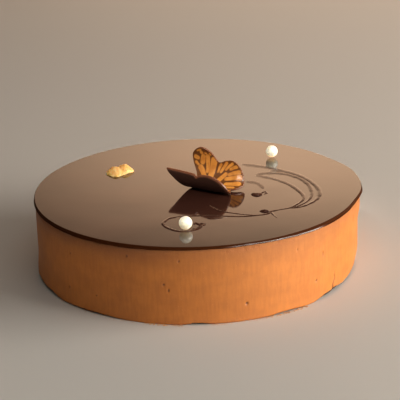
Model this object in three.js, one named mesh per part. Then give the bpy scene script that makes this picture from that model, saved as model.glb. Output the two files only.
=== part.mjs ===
// Round mousse cake with a mirror glaze, two sugar pearls, a folded chocolate
// butterfly and a crumpled flake of gold leaf.
// Millimetres, +Z up, origin in the middle of the underside of the cake.
// Azimuths are in degrees, counter-clockwise from +X; the front of the cake is at -90.

import * as THREE from 'three';

// ---------------------------------------------------------------- driving sizes

const CAKE_DIAMETER = 200;
const CAKE_HEIGHT = 47.7;
const FIT_GAP = 0.3;

const GLAZE_THICKNESS = 2.0;
const GLAZE_ROUNDING = 0.9;
const GLAZE_SHOULDER = 3.5;
const GLAZE_SHOULDER_DROP = 0.15;
const GLAZE_LIP_SETBACK = 0.25;

const MOUSSE_SETBACK = 0.3;
const MOUSSE_EDGE_EASE = 0.35;

const BISCUIT_SETBACK = 1.8;
const BISCUIT_THICKNESS = 3.2;
const BISCUIT_UNEVENNESS = 0.25;

const PEARL_DIAMETER = 7.8;

const BUTTERFLY = {
  thickness: 1.5,
  foldStart: [-1.56, 3.2],
  headingDegrees: -33,
  rollDegrees: 5.4,
  nearBendRadius: 13.1,
  farBendRadius: 14.9,
};

// Crumpled gold leaf: its lobes are domes, with their middle, spread and height.
const FLAKE = {
  centre: [-48.3, 33],
  length: 18.6,
  width: 20.5,
  turnDegrees: 15,
  edgeThickness: 0.6,
  lobes: [
    { at: [-3, 1.8], spread: [6, 8], height: 3.4 },
    { at: [3.8, 3.4], spread: [4.8, 7.5], height: 4.4 },
    { at: [7.2, 1], spread: [3.2, 5.5], height: 2.8 },
  ],
};

const COLUMNS = 96;

const cakeRadius = CAKE_DIAMETER / 2;
const glazeUnderside = CAKE_HEIGHT - GLAZE_THICKNESS;

// Where the mousse stops short of the ground and the biscuit shows under it: middle and
// half-width of each gap in degrees of azimuth, how far in from its ends it reaches its
// full height, and that height.
const FOOT_GAPS = [
  { middle: -157, halfWidth: 13, ease: 11, height: 1.5 },
  { middle: -129, halfWidth: 17, ease: 17, height: 0.7 },
  { middle: -91, halfWidth: 6, ease: 6, height: 1.1 },
  { middle: -60, halfWidth: 9, ease: 9, height: 1.0 },
  { middle: -19, halfWidth: 28, ease: 10, height: 2.7 },
  { middle: 38, halfWidth: 15, ease: 15, height: 0.9 },
  { middle: 96, halfWidth: 12, ease: 12, height: 1.2 },
  { middle: 151, halfWidth: 18, ease: 18, height: 0.8 },
];

const PEARLS = [
  { name: 'pearl_front', centre: [-6.7, -72.7] },
  { name: 'pearl_back', centre: [50.3, 53.9] },
];

// The wings laid flat: how far along the fold from the head, and how far out from it. The
// near one was cut to a sharp, shorter tip and the far one to a round, longer tip.
const NEAR_WING = [
  [-0.5, 0],
  [-1.2, 6],
  [-2.9, 11.5],
  [-6.4, 17.7],
  [-9.8, 22.2],
  [-5, 22.3],
  [3.8, 21.9],
  [10.2, 21],
  [11.5, 19.8],
  [14, 21],
  [20.5, 21.6],
  [26.5, 19.8],
  [30.6, 15.6],
  [31.4, 10],
  [29.8, 4.5],
  [26.7, 0],
];
const FAR_WING = [
  [-0.5, 0],
  [-0.9, 5],
  [-2.1, 8.8],
  [-7.2, 17.3],
  [-8, 22.4],
  [-4.8, 26.2],
  [-0.8, 27.6],
  [4.6, 25.4],
  [11.4, 19.2],
  [16.1, 20.8],
  [21, 21.4],
  [25.3, 19.1],
  [29.5, 13.4],
  [31.4, 6.6],
  [29.8, 2.2],
  [26.7, 0],
];

// ---------------------------------------------------------------- small helpers

const radians = THREE.MathUtils.degToRad;
const lerp = THREE.MathUtils.lerp;

function finish(colour, roughness, metalness = 0) {
  return new THREE.MeshStandardMaterial({ color: colour, roughness, metalness });
}

function named(name, geometry, material) {
  const mesh = new THREE.Mesh(geometry, material);
  mesh.name = name;
  return mesh;
}

function geometryFrom(points, triangles) {
  const geometry = new THREE.BufferGeometry();
  geometry.setAttribute('position', new THREE.Float32BufferAttribute(points, 3));
  geometry.setIndex(triangles);
  geometry.computeVertexNormals();
  return geometry;
}

// Quads between two closed rows of `count` points, given the index of each row's first.
function joinRows(triangles, count, lower, upper) {
  for (let i = 0; i < count; i += 1) {
    const next = (i + 1) % count;
    triangles.push(lower + i, lower + next, upper + next);
    triangles.push(lower + i, upper + next, upper + i);
  }
}

// A solid turned about +Z whose profile may change with azimuth. The profile is a
// list of [radius, height] that runs up the outside from the axis to the axis again.
function turnedSolid(profileAt, columns = COLUMNS) {
  const profiles = [];
  for (let i = 0; i < columns; i += 1) {
    profiles.push(profileAt((360 * i) / columns));
  }
  const rows = profiles[0].length - 2;
  const points = [];
  for (let row = 1; row <= rows; row += 1) {
    for (let i = 0; i < columns; i += 1) {
      const angle = (2 * Math.PI * i) / columns;
      const [radius, height] = profiles[i][row];
      points.push(radius * Math.cos(angle), radius * Math.sin(angle), height);
    }
  }
  const bottom = points.length / 3;
  points.push(0, 0, profiles[0][0][1]);
  const top = bottom + 1;
  points.push(0, 0, profiles[0][rows + 1][1]);

  const triangles = [];
  for (let i = 0; i < columns; i += 1) {
    triangles.push(bottom, (i + 1) % columns, i);
  }
  for (let row = 1; row < rows; row += 1) {
    joinRows(triangles, columns, (row - 1) * columns, row * columns);
  }
  const lastRow = (rows - 1) * columns;
  for (let i = 0; i < columns; i += 1) {
    triangles.push(lastRow + i, lastRow + ((i + 1) % columns), top);
  }
  return geometryFrom(points, triangles);
}

// A leaf-like solid: a flat outline, filled by rings that shrink towards `root`, and
// doubled into an upper and a lower skin by `placePoint(x, y, ring, side)`.
function leafSolid(outline, root, rings, placePoint) {
  const count = outline.length;
  const points = [];
  for (const side of [1, -1]) {
    for (let ring = rings; ring > 0; ring -= 1) {
      for (const [x, y] of outline) {
        const share = ring / rings;
        points.push(...placePoint(lerp(root[0], x, share), lerp(root[1], y, share), share, side));
      }
    }
    points.push(...placePoint(root[0], root[1], 0, side));
  }
  const skin = count * rings + 1;
  const upper = [];
  for (let ring = 0; ring + 1 < rings; ring += 1) {
    joinRows(upper, count, ring * count, (ring + 1) * count);
  }
  for (let i = 0; i < count; i += 1) {
    const inner = (rings - 1) * count;
    upper.push(inner + i, inner + ((i + 1) % count), count * rings);
  }
  const triangles = [...upper];
  for (let i = 0; i < upper.length; i += 3) {
    triangles.push(skin + upper[i], skin + upper[i + 2], skin + upper[i + 1]);
  }
  joinRows(triangles, count, skin, 0);
  return geometryFrom(points, triangles);
}

// ---------------------------------------------------------------- the cake

// Height of the mousse's lower edge above the ground at an azimuth.
function footGap(azimuth) {
  let height = 0;
  for (const gap of FOOT_GAPS) {
    const away = Math.abs(THREE.MathUtils.euclideanModulo(azimuth - gap.middle + 180, 360) - 180);
    const rise = THREE.MathUtils.smoothstep(gap.halfWidth - away, 0, gap.ease);
    height = Math.max(height, gap.height * rise);
  }
  return height;
}

function baseBiscuit() {
  const radius = cakeRadius - BISCUIT_SETBACK;
  const geometry = turnedSolid((azimuth) => {
    const angle = radians(azimuth);
    const waves = Math.sin(7 * angle) + 0.6 * Math.sin(17 * angle + 1);
    const edge = radius - BISCUIT_UNEVENNESS * (1 + waves / 2);
    return [
      [0, 0],
      [edge - 0.3, 0],
      [edge, 0.3],
      [edge, BISCUIT_THICKNESS - 0.3],
      [edge - 0.3, BISCUIT_THICKNESS],
      [0, BISCUIT_THICKNESS],
    ];
  });
  return named('base_biscuit', geometry, finish(0x2a1409, 0.95));
}

function mousseBody() {
  const outside = cakeRadius - MOUSSE_SETBACK;
  const skirtInside = cakeRadius - BISCUIT_SETBACK + FIT_GAP;
  const ceiling = BISCUIT_THICKNESS + FIT_GAP;
  const top = glazeUnderside - FIT_GAP;
  const geometry = turnedSolid((azimuth) => {
    const foot = footGap(azimuth);
    return [
      [0, ceiling],
      [skirtInside, ceiling],
      [skirtInside, foot],
      [outside - MOUSSE_EDGE_EASE, foot],
      [outside, foot + MOUSSE_EDGE_EASE],
      [outside, lerp(foot, top, 0.5)],
      [outside, top - MOUSSE_EDGE_EASE],
      [outside - MOUSSE_EDGE_EASE, top],
      [0, top],
    ];
  });
  return named('mousse_body', geometry, finish(0xb06a34, 0.7));
}

// A poured disc with a soft shoulder, a rounded rim and a lip that tucks in underneath.
function mirrorGlaze() {
  const shoulderTop = CAKE_HEIGHT - GLAZE_SHOULDER_DROP;
  const geometry = turnedSolid(() => {
    const profile = [
      [0, glazeUnderside],
      [cakeRadius - GLAZE_LIP_SETBACK - GLAZE_ROUNDING / 2, glazeUnderside],
      [cakeRadius - GLAZE_LIP_SETBACK, glazeUnderside + GLAZE_ROUNDING / 3],
    ];
    const steps = 5;
    for (let i = 0; i <= steps; i += 1) {
      const turn = (Math.PI / 2) * (i / steps);
      profile.push([
        cakeRadius - GLAZE_ROUNDING * (1 - Math.cos(turn)),
        shoulderTop - GLAZE_ROUNDING * (1 - Math.sin(turn)),
      ]);
    }
    profile.push([cakeRadius - GLAZE_SHOULDER, CAKE_HEIGHT]);
    profile.push([0, CAKE_HEIGHT]);
    return profile;
  });
  return named('mirror_glaze', geometry, finish(0x2b1711, 0.08));
}

// ---------------------------------------------------------------- decorations

function pearl({ name, centre }) {
  const radius = PEARL_DIAMETER / 2;
  const steps = 14;
  const geometry = turnedSolid(() => {
    const profile = [];
    for (let i = 0; i <= steps; i += 1) {
      const turn = Math.PI * (i / steps);
      profile.push([radius * Math.sin(turn), -radius * Math.cos(turn)]);
    }
    return profile;
  }, 24);
  const mesh = named(name, geometry, finish(0xfff4dc, 0.25));
  mesh.position.set(centre[0], centre[1], CAKE_HEIGHT + FIT_GAP + radius);
  return mesh;
}

// The outline of the whole butterfly laid flat, as [along the fold, across it]:
// the near wing (across > 0) from head to tail, then the far wing back to the head.
function butterflyOutline(pointsPerWing = 48) {
  const smooth = (wing) => {
    const flat = wing.map(([along, across]) => new THREE.Vector3(along, across, 0));
    return new THREE.CatmullRomCurve3(flat, false, 'centripetal').getSpacedPoints(pointsPerWing);
  };
  const near = smooth(NEAR_WING).map(({ x, y }) => [x, y]);
  const far = smooth(FAR_WING).slice(1, -1).map(({ x, y }) => [x, -y]).reverse();
  return [...near, ...far];
}

// Bends the flat butterfly into a gutter: each wing follows a circle of its own radius.
function bend(across) {
  const near = across >= 0;
  const radius = near ? BUTTERFLY.nearBendRadius : BUTTERFLY.farBendRadius;
  const start = -radians(BUTTERFLY.rollDegrees);
  const slope = start + across / radius;
  return {
    slope,
    sideways: radius * (Math.sin(slope) - Math.sin(start)),
    up: radius * (Math.cos(start) - Math.cos(slope)),
  };
}

function butterfly() {
  const half = BUTTERFLY.thickness / 2;
  const place = (along, across, share, side) => {
    const { slope, sideways, up } = bend(across);
    const edgeEase = share === 1 ? 0.7 : 1;
    const offset = side * half * edgeEase;
    // The near wing lies on the -Y side of the fold, the upper skin inside the gutter.
    return [along, -(sideways - offset * Math.sin(slope)), up + offset * Math.cos(slope)];
  };
  const root = [9, 0];
  const geometry = leafSolid(butterflyOutline(), root, 7, place);
  const mesh = named('butterfly', geometry, finish(0x6b3516, 0.4));
  const lowest = BUTTERFLY.farBendRadius * (1 - Math.cos(radians(BUTTERFLY.rollDegrees)));
  const [x, y] = BUTTERFLY.foldStart;
  mesh.position.set(x, y, CAKE_HEIGHT + FIT_GAP + half + lowest);
  mesh.rotation.z = radians(BUTTERFLY.headingDegrees);
  return mesh;
}

// A crumpled leaf: the highest of its domes at each place, thin at its outline.
function goldLeaf() {
  const count = 40;
  const outline = [];
  for (let i = 0; i < count; i += 1) {
    const angle = (2 * Math.PI * i) / count;
    const waves = 0.88 + 0.08 * Math.cos(2 * angle) + 0.05 * Math.sin(3 * angle + 0.7);
    outline.push([
      (FLAKE.length / 2) * waves * Math.cos(angle),
      (FLAKE.width / 2) * waves * Math.sin(angle),
    ]);
  }
  const place = (x, y, share, side) => {
    if (side < 0) {
      return [x, y, 0];
    }
    const domes = FLAKE.lobes.map(({ at, spread, height }) => {
      const away = Math.hypot((x - at[0]) / spread[0], (y - at[1]) / spread[1]);
      return height * Math.exp(-(away ** 2));
    });
    return [x, y, FLAKE.edgeThickness + Math.max(...domes) * (1 - share ** 6)];
  };
  const mesh = named('gold_leaf', leafSolid(outline, [0, 0], 6, place), finish(0xf2b866, 0.4, 0.6));
  mesh.position.set(FLAKE.centre[0], FLAKE.centre[1], CAKE_HEIGHT + FIT_GAP);
  mesh.rotation.z = radians(FLAKE.turnDegrees);
  return mesh;
}

// ---------------------------------------------------------------- the whole cake

const group = new THREE.Group();
group.add(baseBiscuit(), mousseBody(), mirrorGlaze());
group.add(...PEARLS.map(pearl));
group.add(butterfly(), goldLeaf());

export default group;
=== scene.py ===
"""Looks of a round mousse cake under a mirror glaze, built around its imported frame.

Lengths are millimetres and angles degrees, unless a name says otherwise, and a mesh is turned
into metres when it is made. The origin is the middle of the cake's underside with Z up, and an
azimuth runs anticlockwise from +X seen from above, so that the front of the cake is at -90.
Every new surface is a grid of two parameters worked out as whole numpy arrays. Its columns run
anticlockwise and its rows run up the outside, which makes its faces point outwards.
"""

import logging
import math
from dataclasses import dataclass, field
from enum import Enum

import bpy
import numpy as np
from mathutils import Matrix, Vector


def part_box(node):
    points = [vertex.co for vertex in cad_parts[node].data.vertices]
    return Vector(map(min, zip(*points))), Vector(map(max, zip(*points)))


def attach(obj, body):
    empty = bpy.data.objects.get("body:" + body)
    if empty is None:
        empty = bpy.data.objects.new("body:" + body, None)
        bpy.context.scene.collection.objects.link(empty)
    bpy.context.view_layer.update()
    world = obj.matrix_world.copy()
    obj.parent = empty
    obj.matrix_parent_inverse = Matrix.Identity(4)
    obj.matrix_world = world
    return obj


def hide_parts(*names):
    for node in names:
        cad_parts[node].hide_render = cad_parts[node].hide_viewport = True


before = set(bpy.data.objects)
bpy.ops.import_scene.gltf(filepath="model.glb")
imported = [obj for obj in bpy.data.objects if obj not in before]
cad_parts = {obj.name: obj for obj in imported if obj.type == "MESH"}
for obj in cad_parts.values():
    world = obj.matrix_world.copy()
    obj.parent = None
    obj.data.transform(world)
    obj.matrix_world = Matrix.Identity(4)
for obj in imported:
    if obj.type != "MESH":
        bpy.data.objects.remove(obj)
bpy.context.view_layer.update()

LOG = logging.getLogger("mousse_cake")
Array = np.ndarray
Triple = tuple[float, float, float]
Colour = Triple
Outline = tuple[tuple[float, float], ...]

MM = 0.001
BODY = "root"
BLACK: Colour = (0.0, 0.0, 0.0)


class Slot(Enum):
    """The record's material slots."""

    BISCUIT = "biscuit"
    MOUSSE = "mousse"
    GLAZE = "glaze"
    PEARL = "pearl"
    BUTTERFLY = "butterfly"
    GOLD_LEAF = "gold_leaf"


# ------------------------------------------------------------------ numpy helpers


def smooth_step(value: Array | float, low: float, high: float) -> Array:
    """Rises smoothly from 0 to 1 between two values.

    The rise is 3 t squared less 2 t cubed, where t is the share of the way from low to high.

    Args:
        value: what is compared, of any shape.
        low: where the rise starts.
        high: where it ends, which may be below low for a fall.

    Returns:
        The rise, in the shape of value.
    """
    share = np.clip((value - low) / (high - low), 0.0, 1.0)
    return share * share * (3.0 - 2.0 * share)


def turn_between(azimuth: Array, middle: float) -> Array:
    """Angle from a middle to each azimuth the short way round, between -180 and 180."""
    return (azimuth - middle + 180.0) % 360.0 - 180.0


def lobe(azimuth: Array, middle: float, half_width: float) -> Array:
    """A share that is 1 about a middle azimuth and falls smoothly to 0 at the half width."""
    return smooth_step(np.abs(turn_between(azimuth, middle)), half_width, 0.35 * half_width)


def smooth_path(points: Array, count: int) -> Array:
    """Draws a smooth curve through given points, at evenly spaced places.

    Each stretch is a cubic whose slope at a point weighs the steps before and after it by the
    other's length, and the curve's parameter grows with the square root of the distance
    between points, as in a centripetal Catmull-Rom spline.

    Args:
        points: the places that the curve runs through, one row each.
        count: how many places to return.

    Returns:
        The places along the curve, one row each.
    """
    ends = 2.0 * points[[0, -1]] - points[[1, -2]]
    led = np.vstack([ends[:1], points, ends[1:]])
    span = np.sqrt(np.linalg.norm(np.diff(led, axis=0), axis=1))[:, None]
    step = np.diff(led, axis=0) / span
    slope = (step[:-1] * span[1:] + step[1:] * span[:-1]) / (span[1:] + span[:-1])
    knots = np.concatenate([[0.0], np.cumsum(span[1:-1, 0])])

    fine = np.linspace(0.0, knots[-1], 16 * count)
    piece = np.clip(np.searchsorted(knots, fine, side="right") - 1, 0, len(points) - 2)
    width = (knots[piece + 1] - knots[piece])[:, None]
    t = (fine - knots[piece])[:, None] / width
    curve = (
        (2 * t**3 - 3 * t**2 + 1) * points[piece]
        + (t**3 - 2 * t**2 + t) * width * slope[piece]
        + (3 * t**2 - 2 * t**3) * points[piece + 1]
        + (t**3 - t**2) * width * slope[piece + 1]
    )
    walked = np.concatenate([[0.0], np.cumsum(np.linalg.norm(np.diff(curve, axis=0), axis=1))])
    even = np.linspace(0.0, walked[-1], count)
    return np.stack([np.interp(even, walked, column) for column in curve.T], axis=-1)


@dataclass(frozen=True)
class Grain:
    """Seeded bumps that repeat: random heights on a lattice, blended smoothly in between.

    Attributes:
        seed: fixes the random heights.
        columns: lattice cells across before the bumps repeat.
        rows: lattice cells upwards before they repeat.
    """

    seed: int
    columns: int
    rows: int = 64

    def at(self, across: Array, up: Array) -> Array:
        """Height between -1 and 1 at places counted in lattice cells.

        The four heights round a place are blended by smooth steps of its place in the cell.

        Args:
            across: place across the lattice.
            up: place up the lattice.

        Returns:
            The heights, in the shape of the places.
        """
        heights = np.random.default_rng(self.seed).uniform(-1.0, 1.0, (self.rows, self.columns))
        across, up = np.broadcast_arrays(across, up)
        column = np.floor(across).astype(int)
        row = np.floor(up).astype(int)
        x = smooth_step(across - column, 0.0, 1.0)
        y = smooth_step(up - row, 0.0, 1.0)
        left, right = column % self.columns, (column + 1) % self.columns
        low, high = row % self.rows, (row + 1) % self.rows
        below = heights[low, left] * (1 - x) + heights[low, right] * x
        above = heights[high, left] * (1 - x) + heights[high, right] * x
        return below * (1 - y) + above * y

    def round_cake(self, azimuth: Array, height: Array | float, cell_height: float = 1.0) -> Array:
        """Bumps that close round the cake, with lattice cells of a given height in millimetres."""
        return self.at(azimuth / 360.0 * self.columns, height / cell_height)


@dataclass
class Skin:
    """Gathers the points, faces and painted values of one mesh."""

    points: list[Array] = field(default_factory=list)
    faces: list[Array] = field(default_factory=list)
    paints: dict[str, list[Array]] = field(default_factory=dict)
    count: int = 0

    def add_points(self, points: Array, **paints: Array | float) -> Array:
        """Adds points with their painted values.

        Args:
            points: places in millimetres, with X, Y and Z along the last axis.
            paints: values from 0 to 1 for each point, by attribute name.

        Returns:
            The points' numbers, in the shape of the points without their last axis.
        """
        shape = points.shape[:-1]
        numbers = np.arange(self.count, self.count + math.prod(shape)).reshape(shape)
        self.points.append(points.reshape(-1, 3))
        for name, values in paints.items():
            self.paints.setdefault(name, []).append(np.broadcast_to(values, shape).ravel())
        self.count += numbers.size
        return numbers

    def weave(self, numbers: Array, closed: bool = True) -> None:
        """Lays quads over a grid of point numbers.

        Args:
            numbers: point numbers, rows by columns.
            closed: whether the last column joins the first.
        """
        if closed:
            numbers = np.hstack([numbers, numbers[:, :1]])
        corners = [numbers[:-1, :-1], numbers[:-1, 1:], numbers[1:, 1:], numbers[1:, :-1]]
        self.faces.append(np.stack(corners, axis=-1).reshape(-1, 4))

    def fan(self, ring: Array, tip: int) -> None:
        """Closes a ring with triangles from each pair of neighbours to a tip."""
        self.faces.append(np.stack([ring, np.roll(ring, -1), np.full_like(ring, tip)], axis=-1))

    def add_closed(self, points: Array, **paints: Array | float) -> None:
        """Adds a closed body: a grid closed round its columns, with a fan at each end.

        The tip of each fan is the mean of the first or the last row.

        Args:
            points: places in millimetres, rows by columns by three.
            paints: values from 0 to 1, rows by columns, by attribute name.
        """
        numbers = self.add_points(points, **paints)
        self.weave(numbers)
        for row, ring in ((0, numbers[0][::-1]), (-1, numbers[-1])):
            means = {name: np.mean(np.broadcast_to(v, numbers.shape)[row]) for name, v in paints.items()}
            tip = self.add_points(points[row].mean(axis=0)[None, :], **means)
            self.fan(ring, int(tip[0]))

    def piece(self, name: str) -> bpy.types.Object:
        """Makes the gathered mesh an object at the origin, smooth and in metres.

        Args:
            name: the name of the object and its mesh.

        Returns:
            The new object, linked to the scene.
        """
        mesh = bpy.data.meshes.new(name)
        places = (np.concatenate(self.points) * MM).astype(np.float32)
        corners = np.concatenate([faces.ravel() for faces in self.faces]).astype(np.int32)
        sizes = np.concatenate([np.full(len(faces), faces.shape[1]) for faces in self.faces])
        mesh.vertices.add(len(places))
        mesh.vertices.foreach_set("co", places.ravel())
        mesh.loops.add(len(corners))
        mesh.loops.foreach_set("vertex_index", corners)
        mesh.polygons.add(len(sizes))
        mesh.polygons.foreach_set("loop_start", (np.cumsum(sizes) - sizes).astype(np.int32))
        mesh.update(calc_edges=True)
        for paint, values in self.paints.items():
            attribute = mesh.attributes.new(paint, "FLOAT", "POINT")
            attribute.data.foreach_set("value", np.concatenate(values).astype(np.float32))
        mesh.validate()
        mesh.shade_smooth()
        made = bpy.data.objects.new(name, mesh)
        bpy.context.scene.collection.objects.link(made)
        return made


def turned(azimuth: Array, radius: Array, height: Array) -> Array:
    """Places of a shape turned round Z, from its azimuths, radii and heights of one shape."""
    angle, radius, height = np.broadcast_arrays(np.radians(azimuth), radius, height)
    return np.stack([radius * np.cos(angle), radius * np.sin(angle), height], axis=-1)


def round_turn(columns: int) -> Array:
    """Evenly spaced azimuths once round, as the one row of a grid."""
    return np.linspace(0.0, 360.0, columns, endpoint=False)[None, :]


def node_box(node: str) -> tuple[Array, Array]:
    """Lowest and highest corner of a CAD node, in millimetres."""
    low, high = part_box(node)
    return np.array(low) / MM, np.array(high) / MM


def glaze_top() -> float:
    """Height of the pool of glaze, on which the decorations lie."""
    return node_box("mirror_glaze")[1][2]


def standing(x_axis: Array, y_axis: Array, z_axis: Array, place: Array) -> Matrix:
    """Matrix of an object from its three axes and its place in metres."""
    matrix = np.eye(4)
    matrix[:3] = np.stack([x_axis, y_axis, z_axis, place], axis=-1)
    return Matrix(matrix.tolist())


def dress(piece: bpy.types.Object, material: bpy.types.Material, slot: Slot, *nodes: str) -> None:
    """Gives a piece its finish and its place in the frame, and reports it.

    Args:
        piece: the new piece.
        material: its finish.
        slot: the record's slot that the finish belongs to.
        nodes: the CAD nodes that the piece stands for.
    """
    piece.data.materials.append(material)
    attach(piece, BODY)
    if nodes:
        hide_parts(*nodes)
    LOG.info("%s: %d faces, %s", piece.name, len(piece.data.polygons), slot.value)


# ------------------------------------------------------------------ shader helpers


class Signal:
    """A shader socket in an expression, where each operator adds one Math node."""

    def __init__(self, shader: "Shader", socket: bpy.types.NodeSocket) -> None:
        """Wraps an output socket of a shader's node."""
        self.shader = shader
        self.socket = socket

    def output(self, name: str) -> "Signal":
        """Another output of the same node."""
        return Signal(self.shader, self.socket.node.outputs[name])

    def __add__(self, other: "Signal | float") -> "Signal":
        """Sum."""
        return self.shader.math("ADD", self, other)

    __radd__ = __add__

    def __sub__(self, other: "Signal | float") -> "Signal":
        """Difference."""
        return self.shader.math("SUBTRACT", self, other)

    def __rsub__(self, other: float) -> "Signal":
        """Difference from a number."""
        return self.shader.math("SUBTRACT", other, self)

    def __mul__(self, other: "Signal | float") -> "Signal":
        """Product."""
        return self.shader.math("MULTIPLY", self, other)

    __rmul__ = __mul__

    def step(self, low: float, high: float) -> "Signal":
        """Smooth rise between two values, or a fall where high is below low.

        Args:
            low: value where the result is 0.
            high: value where it is 1.

        Returns:
            The rise, by the same formula as smooth_step.
        """
        ends = {"From Min": min(low, high), "From Max": max(low, high)}
        rise = self.shader.add(
            "ShaderNodeMapRange", {"interpolation_type": "SMOOTHSTEP"}, {"Value": self, **ends}
        )
        return rise if low < high else 1.0 - rise


class Shader:
    """One material round a Principled surface, in metres on Object coordinates."""

    def __init__(self, name: str) -> None:
        """Starts an empty material with a Principled surface."""
        self.material = bpy.data.materials.new(name)
        self.material.use_nodes = True
        self.tree = self.material.node_tree
        self.surface = self.tree.nodes["Principled BSDF"]
        self.place = self.add("ShaderNodeTexCoord").output("Object")

    @staticmethod
    def _pick(sockets: bpy.types.bpy_prop_collection, key: str) -> bpy.types.NodeSocket:
        """The socket with that identifier, or else with that name."""
        return next((socket for socket in sockets if socket.identifier == key), None) or sockets[key]

    def fill(self, node: bpy.types.Node, inputs: dict[str, object]) -> None:
        """Sets a node's sockets.

        Args:
            node: the node.
            inputs: a Signal to link or a value to set, by socket identifier or name.
        """
        for key, value in inputs.items():
            socket = self._pick(node.inputs, key)
            if isinstance(value, Signal):
                self.tree.links.new(value.socket, socket)
            elif socket.type == "RGBA":
                socket.default_value = (*value, 1.0)
            else:
                socket.default_value = value

    def add(
        self,
        kind: str,
        settings: dict[str, object] | None = None,
        inputs: dict[str, object] | None = None,
        output: str | None = None,
    ) -> Signal:
        """Adds one node.

        Args:
            kind: the node's type.
            settings: the node's own properties, which are set first.
            inputs: values or links of its sockets.
            output: identifier or name of the output that is wanted, or the first.

        Returns:
            The wanted output.
        """
        node = self.tree.nodes.new(kind)
        for key, value in (settings or {}).items():
            setattr(node, key, value)
        self.fill(node, inputs or {})
        return Signal(self, self._pick(node.outputs, output) if output else node.outputs[0])

    def math(self, operation: str, first: Signal | float, second: Signal | float) -> Signal:
        """One Math node on two values."""
        inputs = {"Value": first, "Value_001": second}
        return self.add("ShaderNodeMath", {"operation": operation}, inputs)

    def painted(self, name: str) -> Signal:
        """A value painted on the mesh's points."""
        return self.add("ShaderNodeAttribute", {"attribute_name": name}, output="Fac")

    def noise(self, size: float, detail: float = 2.0, stretch: Triple = (1.0, 1.0, 1.0)) -> Signal:
        """Cloudy noise between 0 and 1.

        Args:
            size: width of its largest blots in millimetres.
            detail: how many finer layers it holds.
            stretch: how many times longer the blots are along X, Y and Z.

        Returns:
            The noise.
        """
        place = self.place
        if stretch != (1.0, 1.0, 1.0):
            scale = tuple(1.0 / length for length in stretch)
            place = self.add("ShaderNodeMapping", None, {"Vector": place, "Scale": scale})
        inputs = {"Vector": place, "Scale": 1.0 / (size * MM), "Detail": detail}
        return self.add("ShaderNodeTexNoise", None, inputs)

    def cells(self, size: float) -> Signal:
        """Distance to the nearest of scattered points, about 0 to 1, with cells of a size in mm."""
        inputs = {"Vector": self.place, "Scale": 1.0 / (size * MM)}
        return self.add("ShaderNodeTexVoronoi", None, inputs, output="Distance")

    def mix(self, share: Signal | float, first: Signal | Colour, second: Signal | Colour) -> Signal:
        """Colour between two, by the share of the second."""
        inputs = {"Factor_Float": share, "A_Color": first, "B_Color": second}
        return self.add("ShaderNodeMix", {"data_type": "RGBA"}, inputs, output="Result_Color")

    def bump(self, height: Signal, depth: float) -> Signal:
        """Normal of a surface whose height signal of 1 stands a depth in millimetres proud."""
        return self.add("ShaderNodeBump", None, {"Height": height, "Distance": depth * MM})

    def finish(self, **sockets: object) -> bpy.types.Material:
        """Sets the Principled surface's sockets, with _ for a space, and returns the material."""
        self.fill(self.surface, {name.replace("_", " "): value for name, value in sockets.items()})
        return self.material


# ------------------------------------------------------------------ finishes


@dataclass(frozen=True)
class BiscuitFinish:
    """Dark, open-crumbed chocolate biscuit."""

    crumb: Colour = (0.040, 0.018, 0.009)
    hole_shade: Colour = (0.010, 0.005, 0.003)

    def material(self) -> bpy.types.Material:
        """Crumb colour with painted shade in its holes and a coarse bump."""
        shader = Shader("chocolate_biscuit")
        grain = shader.noise(1.6, detail=4.0)
        hole_shade = shader.cells(1.2).step(0.35, 0.1)
        return shader.finish(
            # Painted shade: the holes are nearly black, and the crumb is clouded towards that colour.
            Base_Color=shader.mix(hole_shade, shader.mix(grain, self.hole_shade, self.crumb), self.hole_shade),
            Roughness=0.9,
            Normal=shader.bump(grain - hole_shade, 0.5),
        )


@dataclass(frozen=True)
class MousseFinish:
    """Milk-chocolate mousse: smooth, faintly clouded, with broken crumbs and open pores."""

    light: Colour = (0.655, 0.212, 0.0255)
    dark: Colour = (0.530, 0.160, 0.0175)
    crumbly: Colour = (0.480, 0.140, 0.020)
    # Colour of painted shade towards the glaze and on the shaded side.
    soaked: Colour = (0.120, 0.036, 0.009)
    # Nearly black painted shade for the pits, the crack and the skirt under the cake.
    hollow: Colour = (0.060, 0.018, 0.006)

    def material(self) -> bpy.types.Material:
        """Clouds, streaks, darker crumbs, and painted shade under the glaze, on one side and in hollows.
        """
        shader = Shader("milk_chocolate_mousse")
        crumb = shader.painted("crumb")
        clouds = shader.noise(14.0, detail=4.0, stretch=(1.0, 1.0, 0.6)).step(0.3, 0.7)
        fine = shader.noise(0.9, detail=3.0)
        pores = shader.cells(1.5).step(0.16, 0.06) * shader.noise(5.0).step(0.5, 0.62)
        streaks = shader.noise(1.8, detail=3.0, stretch=(1.0, 1.0, 6.0)).step(0.35, 0.65)
        body = shader.mix(clouds * 0.6 + streaks * 0.4, self.dark, self.light)
        broken = shader.mix(fine.step(0.3, 0.7), self.crumbly, self.light)
        toned = shader.mix(crumb * 0.7, body, broken)
        # Painted shade: the side darkens towards the glaze, and much more on its shaded side.
        soaked = shader.mix(shader.painted("soak") * (0.75 + fine * 0.4), toned, self.soaked)
        pored = shader.mix(pores * 0.35, soaked, self.crumbly)
        return shader.finish(
            # Painted shade: nearly black in the pits, the crack and on the skirt under the cake.
            Base_Color=shader.mix(shader.painted("hollow"), pored, self.hollow),
            Roughness=0.48 + fine * 0.1 + crumb * 0.2,
            Specular_IOR_Level=0.55,
            Normal=shader.bump(fine * (0.2 + crumb) - pores * 0.6, 0.2),
        )


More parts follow.
